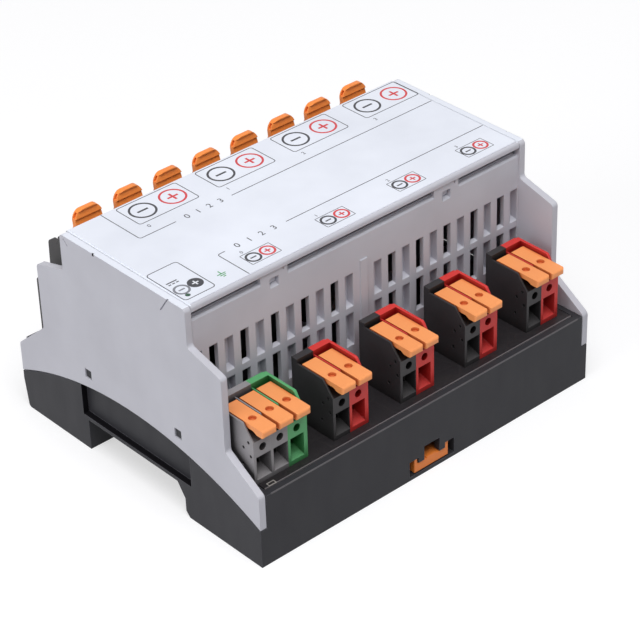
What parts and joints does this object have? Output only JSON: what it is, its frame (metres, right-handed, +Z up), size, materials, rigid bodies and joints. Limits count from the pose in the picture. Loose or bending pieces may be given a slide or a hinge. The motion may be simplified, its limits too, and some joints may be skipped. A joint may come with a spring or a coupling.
{
  "type": "signal isolator",
  "caption": "Stepped rail-mounted electronics housing with louvred walls, coloured spring-clamp terminals under push levers in front, lever terminals behind and a sliding rail latch.",
  "frame": {"origin": "bottom centre of the whole part, on the plane of the base's feet", "axes": "+X along the rail, -Y towards the front terminals and the rail latch, +Z up"},
  "size_m": [0.1076, 0.0896, 0.0607],
  "materials": {
    "base_plastic": "fine moulded texture",
    "housing_plastic": "fine moulded texture",
    "label_film": "smooth, printed",
    "lever_plastic": "smooth moulded",
    "pole_gray": "smooth moulded",
    "pole_green": "smooth moulded",
    "pole_red": "smooth moulded",
    "pole_black": "smooth moulded",
    "board": "solder resist",
    "module_plastic": "potted",
    "chip_plastic": "moulded epoxy",
    "capacitor_can": "drawn can",
    "light_guide": "clear green",
    "contact_metal": "tin plated",
    "spring_steel": "bright"
  },
  "bodies": {
    "housing": {"base_housing": "base_plastic", "upper_housing": "housing_plastic", "top_cover": "housing_plastic", "cover_label": "label_film", "main_board": "board", "isolation_modules": "module_plastic", "isolation_amps": "chip_plastic", "power_converter": "chip_plastic", "capacitors": "capacitor_can", "status_led": "light_guide", "light_pipe": "light_guide", "front_contacts": "contact_metal", "rear_contacts": "contact_metal", "front_springs": "spring_steel", "rear_springs": "spring_steel", "power_pole_1": "pole_gray", "power_pole_2": "pole_gray", "earth_pole": "pole_green", "out_1_minus": "pole_black", "out_1_plus": "pole_red", "out_2_minus": "pole_black", "out_2_plus": "pole_red", "out_3_minus": "pole_black", "out_3_plus": "pole_red", "out_4_minus": "pole_black", "out_4_plus": "pole_red", "input_block_1": "pole_black", "input_block_2": "pole_black", "input_block_3": "pole_black", "input_block_4": "pole_black"},
    "rail_latch": {"rail_latch": "lever_plastic"},
    "lever_power_1": {"lever_power_1": "lever_plastic"},
    "lever_power_2": {"lever_power_2": "lever_plastic"},
    "lever_earth": {"lever_earth": "lever_plastic"},
    "lever_out_1_minus": {"lever_out_1_minus": "lever_plastic"},
    "lever_out_1_plus": {"lever_out_1_plus": "lever_plastic"},
    "lever_out_2_minus": {"lever_out_2_minus": "lever_plastic"},
    "lever_out_2_plus": {"lever_out_2_plus": "lever_plastic"},
    "lever_out_3_minus": {"lever_out_3_minus": "lever_plastic"},
    "lever_out_3_plus": {"lever_out_3_plus": "lever_plastic"},
    "lever_out_4_minus": {"lever_out_4_minus": "lever_plastic"},
    "lever_out_4_plus": {"lever_out_4_plus": "lever_plastic"},
    "lever_in_1_minus": {"lever_in_1_minus": "lever_plastic"},
    "lever_in_1_plus": {"lever_in_1_plus": "lever_plastic"},
    "lever_in_2_minus": {"lever_in_2_minus": "lever_plastic"},
    "lever_in_2_plus": {"lever_in_2_plus": "lever_plastic"},
    "lever_in_3_minus": {"lever_in_3_minus": "lever_plastic"},
    "lever_in_3_plus": {"lever_in_3_plus": "lever_plastic"},
    "lever_in_4_minus": {"lever_in_4_minus": "lever_plastic"},
    "lever_in_4_plus": {"lever_in_4_plus": "lever_plastic"}
  },
  "joints": [
    {"name": "rail_latch_slide", "type": "slide", "parent": "housing", "child": "rail_latch", "axis": [0, -1, 0], "range_m": [0, 0.0035], "stiffness_N_per_m": 1500},
    {"name": "lever_power_1_hinge", "type": "hinge", "parent": "housing", "child": "lever_power_1", "pos_m": [-0.0482, -0.03, 0.034], "axis": [1, 0, 0], "range_deg": [0, 8], "stiffness_Nm_per_rad": 0.05},
    {"name": "lever_power_2_hinge", "type": "hinge", "parent": "housing", "child": "lever_power_2", "pos_m": [-0.04312, -0.03, 0.034], "axis": [1, 0, 0], "range_deg": [0, 8], "stiffness_Nm_per_rad": 0.05},
    {"name": "lever_earth_hinge", "type": "hinge", "parent": "housing", "child": "lever_earth", "pos_m": [-0.03804, -0.03, 0.034], "axis": [1, 0, 0], "range_deg": [0, 8], "stiffness_Nm_per_rad": 0.05},
    {"name": "lever_out_1_minus_hinge", "type": "hinge", "parent": "housing", "child": "lever_out_1_minus", "pos_m": [-0.0242, -0.03, 0.034], "axis": [1, 0, 0], "range_deg": [0, 8], "stiffness_Nm_per_rad": 0.05},
    {"name": "lever_out_1_plus_hinge", "type": "hinge", "parent": "housing", "child": "lever_out_1_plus", "pos_m": [-0.01912, -0.03, 0.034], "axis": [1, 0, 0], "range_deg": [0, 8], "stiffness_Nm_per_rad": 0.05},
    {"name": "lever_out_2_minus_hinge", "type": "hinge", "parent": "housing", "child": "lever_out_2_minus", "pos_m": [-0.003, -0.03, 0.034], "axis": [1, 0, 0], "range_deg": [0, 8], "stiffness_Nm_per_rad": 0.05},
    {"name": "lever_out_2_plus_hinge", "type": "hinge", "parent": "housing", "child": "lever_out_2_plus", "pos_m": [0.00208, -0.03, 0.034], "axis": [1, 0, 0], "range_deg": [0, 8], "stiffness_Nm_per_rad": 0.05},
    {"name": "lever_out_3_minus_hinge", "type": "hinge", "parent": "housing", "child": "lever_out_3_minus", "pos_m": [0.0182, -0.03, 0.034], "axis": [1, 0, 0], "range_deg": [0, 8], "stiffness_Nm_per_rad": 0.05},
    {"name": "lever_out_3_plus_hinge", "type": "hinge", "parent": "housing", "child": "lever_out_3_plus", "pos_m": [0.02328, -0.03, 0.034], "axis": [1, 0, 0], "range_deg": [0, 8], "stiffness_Nm_per_rad": 0.05},
    {"name": "lever_out_4_minus_hinge", "type": "hinge", "parent": "housing", "child": "lever_out_4_minus", "pos_m": [0.0394, -0.03, 0.034], "axis": [1, 0, 0], "range_deg": [0, 8], "stiffness_Nm_per_rad": 0.05},
    {"name": "lever_out_4_plus_hinge", "type": "hinge", "parent": "housing", "child": "lever_out_4_plus", "pos_m": [0.04448, -0.03, 0.034], "axis": [1, 0, 0], "range_deg": [0, 8], "stiffness_Nm_per_rad": 0.05},
    {"name": "lever_in_1_minus_hinge", "type": "hinge", "parent": "housing", "child": "lever_in_1_minus", "pos_m": [-0.04253, 0.02755, 0.046], "axis": [-1, 0, 0], "range_deg": [0, 75]},
    {"name": "lever_in_1_plus_hinge", "type": "hinge", "parent": "housing", "child": "lever_in_1_plus", "pos_m": [-0.03037, 0.02755, 0.046], "axis": [-1, 0, 0], "range_deg": [0, 75]},
    {"name": "lever_in_2_minus_hinge", "type": "hinge", "parent": "housing", "child": "lever_in_2_minus", "pos_m": [-0.01823, 0.02755, 0.046], "axis": [-1, 0, 0], "range_deg": [0, 75]},
    {"name": "lever_in_2_plus_hinge", "type": "hinge", "parent": "housing", "child": "lever_in_2_plus", "pos_m": [-0.00607, 0.02755, 0.046], "axis": [-1, 0, 0], "range_deg": [0, 75]},
    {"name": "lever_in_3_minus_hinge", "type": "hinge", "parent": "housing", "child": "lever_in_3_minus", "pos_m": [0.00607, 0.02755, 0.046], "axis": [-1, 0, 0], "range_deg": [0, 75]},
    {"name": "lever_in_3_plus_hinge", "type": "hinge", "parent": "housing", "child": "lever_in_3_plus", "pos_m": [0.01823, 0.02755, 0.046], "axis": [-1, 0, 0], "range_deg": [0, 75]},
    {"name": "lever_in_4_minus_hinge", "type": "hinge", "parent": "housing", "child": "lever_in_4_minus", "pos_m": [0.03037, 0.02755, 0.046], "axis": [-1, 0, 0], "range_deg": [0, 75]},
    {"name": "lever_in_4_plus_hinge", "type": "hinge", "parent": "housing", "child": "lever_in_4_plus", "pos_m": [0.04253, 0.02755, 0.046], "axis": [-1, 0, 0], "range_deg": [0, 75]}
  ]
}
